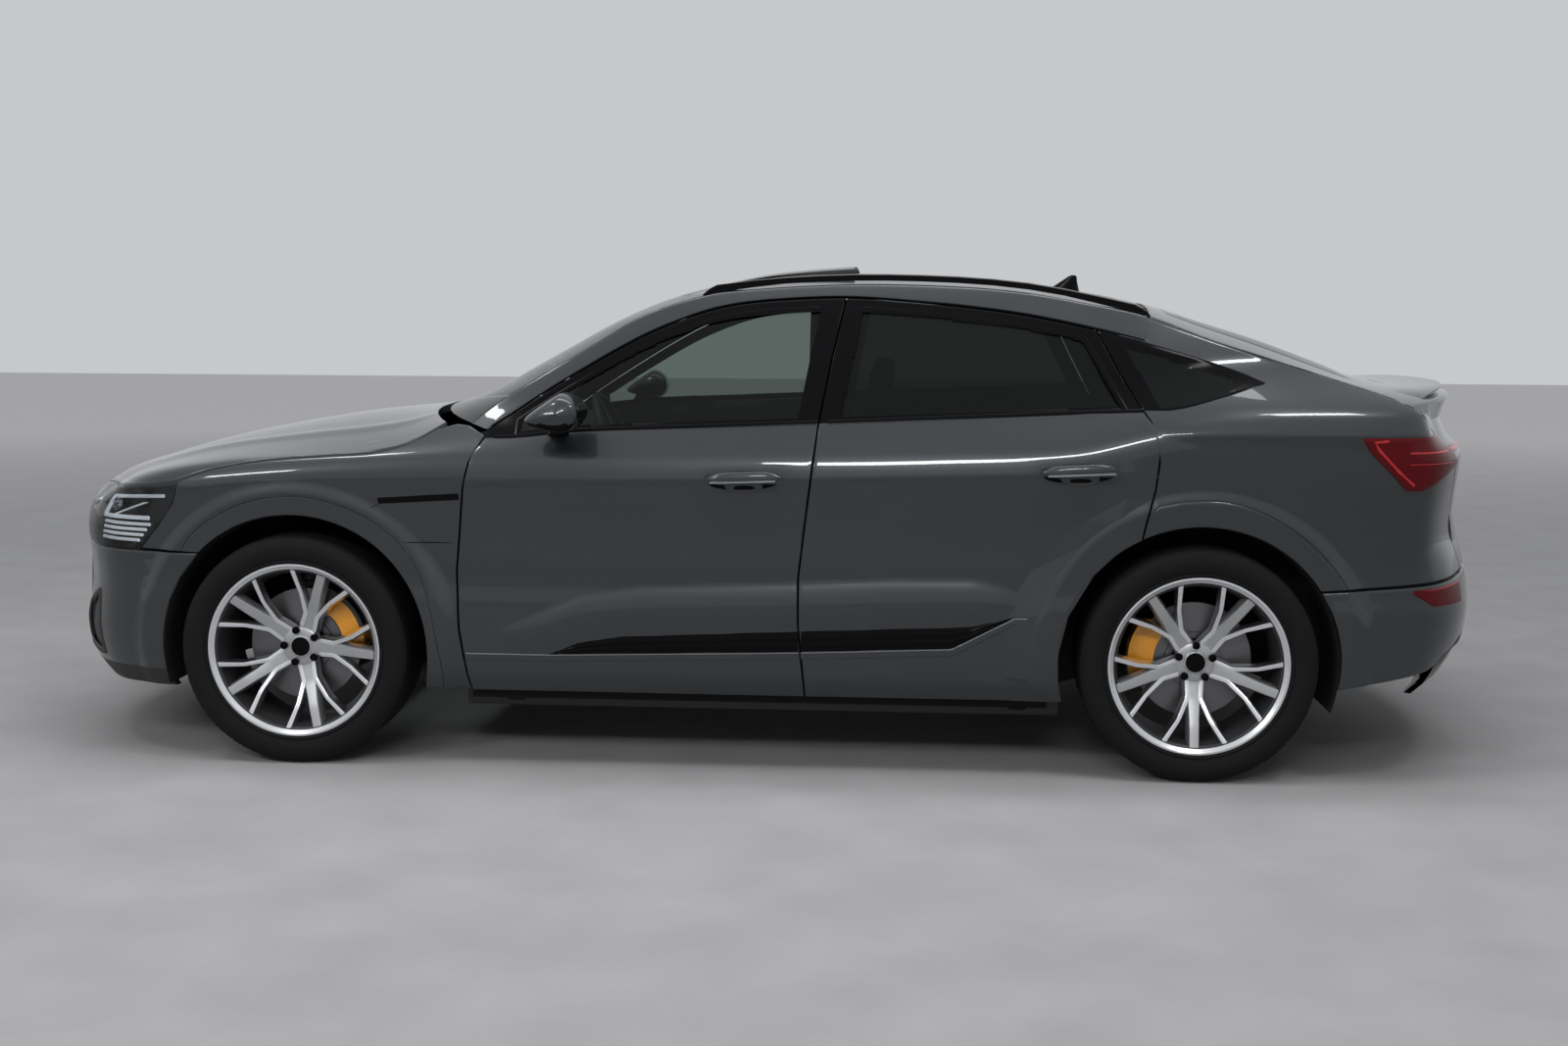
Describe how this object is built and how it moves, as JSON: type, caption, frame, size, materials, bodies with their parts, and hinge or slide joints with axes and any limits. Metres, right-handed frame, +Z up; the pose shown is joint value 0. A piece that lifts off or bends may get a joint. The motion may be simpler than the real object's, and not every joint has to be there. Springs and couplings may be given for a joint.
{
  "type": "coupe sport utility vehicle",
  "caption": "Coupe sport utility vehicle with hinged doors, bonnet and tailgate, steered front wheels and spinning wheels on a skateboard frame.",
  "frame": {"origin": "on the ground under the middle of the vehicle", "axes": "+X to the rear, -X to the front, -Y the left side that the picture shows, +Z up"},
  "size_m": [4.8986, 2.2624, 1.6473],
  "materials": {
    "paint": "dark grey metallic clear coat",
    "black_trim": "gloss black",
    "grille_black": "grained black",
    "clear_glass": "clear, slightly green",
    "dark_glass": "privacy tint",
    "lamp_clear": "clear lamp lens",
    "lamp_red": "red lens",
    "steel": "bare and coated steel",
    "frame_steel": "primed dark",
    "alloy": "cast housing",
    "wheel_alloy": "machined and grey painted",
    "tyre": "black rubber",
    "caliper": "orange paint",
    "leather": "black leather",
    "interior": "soft black"
  },
  "bodies": {
    "body": {"body_frame": "frame_steel", "battery_pack": "alloy", "drive_motors": "alloy", "front_suspension": "steel", "rear_suspension": "steel", "fenders": "paint", "quarter_panels": "paint", "roof_sides": "paint", "roof_panel": "paint", "sunroof_glass": "dark_glass", "windscreen": "clear_glass", "quarter_glasses": "dark_glass", "front_bumper": "paint", "grille": "grille_black", "headlamps": "lamp_clear", "rear_bumper": "paint", "diffuser": "black_trim", "tail_lamps": "lamp_red", "roof_rails": "black_trim", "door_hinges": "steel", "seats": "leather", "dashboard": "interior", "rear_calipers": "caliper"},
    "steering_wheel": {"steering_wheel": "leather"},
    "bonnet": {"bonnet": "paint"},
    "tailgate": {"tailgate": "paint", "rear_window": "dark_glass"},
    "front_door_left": {"front_door_left": "paint", "front_glass_left": "clear_glass", "mirror_left": "paint"},
    "rear_door_left": {"rear_door_left": "paint", "rear_glass_left": "dark_glass"},
    "knuckle_left": {"knuckle_left": "steel"},
    "front_wheel_left": {"wheel_front_left": "wheel_alloy", "tyre_front_left": "tyre"},
    "rear_wheel_left": {"wheel_rear_left": "wheel_alloy", "tyre_rear_left": "tyre"},
    "front_door_right": {"front_door_right": "paint", "front_glass_right": "clear_glass", "mirror_right": "paint"},
    "rear_door_right": {"rear_door_right": "paint", "rear_glass_right": "dark_glass"},
    "knuckle_right": {"knuckle_right": "steel"},
    "front_wheel_right": {"wheel_front_right": "wheel_alloy", "tyre_front_right": "tyre"},
    "rear_wheel_right": {"wheel_rear_right": "wheel_alloy", "tyre_rear_right": "tyre"}
  },
  "joints": [
    {"name": "front_door_left_open", "type": "hinge", "parent": "body", "child": "front_door_left", "pos_m": [-0.8795, -0.9399, 0.71], "axis": [0, 0, -1], "range_deg": [0, 65]},
    {"name": "rear_door_left_open", "type": "hinge", "parent": "body", "child": "rear_door_left", "pos_m": [0.2305, -0.9399, 0.71], "axis": [0, 0, -1], "range_deg": [0, 65]},
    {"name": "front_door_right_open", "type": "hinge", "parent": "body", "child": "front_door_right", "pos_m": [-0.8795, 0.9399, 0.71], "axis": [0, 0, 1], "range_deg": [0, 65]},
    {"name": "rear_door_right_open", "type": "hinge", "parent": "body", "child": "rear_door_right", "pos_m": [0.2305, 0.9399, 0.71], "axis": [0, 0, 1], "range_deg": [0, 65]},
    {"name": "bonnet_open", "type": "hinge", "parent": "body", "child": "bonnet", "pos_m": [-0.9855, 0, 1.096], "axis": [0, 1, 0], "range_deg": [0, 60]},
    {"name": "tailgate_open", "type": "hinge", "parent": "body", "child": "tailgate", "pos_m": [1.2635, 0, 1.505], "axis": [0, -1, 0], "range_deg": [0, 70]},
    {"name": "steer_left", "type": "hinge", "parent": "body", "child": "knuckle_left", "pos_m": [-1.5055, -0.7525, 0.378], "axis": [0, 0, 1], "range_deg": [-35, 35]},
    {"name": "steer_right", "type": "hinge", "parent": "body", "child": "knuckle_right", "pos_m": [-1.5055, 0.7525, 0.378], "axis": [0, 0, 1], "range_deg": [-35, 35]},
    {"name": "steering_wheel_turn", "type": "hinge", "parent": "body", "child": "steering_wheel", "pos_m": [-0.5205, -0.37, 1.03], "axis": [0.9063, 0, 0.4226], "range_deg": [-490, 490]},
    {"name": "front_wheel_left_spin", "type": "hinge", "parent": "knuckle_left", "child": "front_wheel_left", "pos_m": [-1.5055, -0.8275, 0.378], "axis": [0, 1, 0], "continuous": true},
    {"name": "rear_wheel_left_spin", "type": "hinge", "parent": "body", "child": "rear_wheel_left", "pos_m": [1.4225, -0.8275, 0.378], "axis": [0, 1, 0], "continuous": true},
    {"name": "front_wheel_right_spin", "type": "hinge", "parent": "knuckle_right", "child": "front_wheel_right", "pos_m": [-1.5055, 0.8275, 0.378], "axis": [0, 1, 0], "continuous": true},
    {"name": "rear_wheel_right_spin", "type": "hinge", "parent": "body", "child": "rear_wheel_right", "pos_m": [1.4225, 0.8275, 0.378], "axis": [0, 1, 0], "continuous": true}
  ],
  "couplings": [
    {"joint": "steer_right", "follows": "steer_left", "ratio": 1},
    {"joint": "steering_wheel_turn", "follows": "steer_left", "ratio": 14}
  ]
}
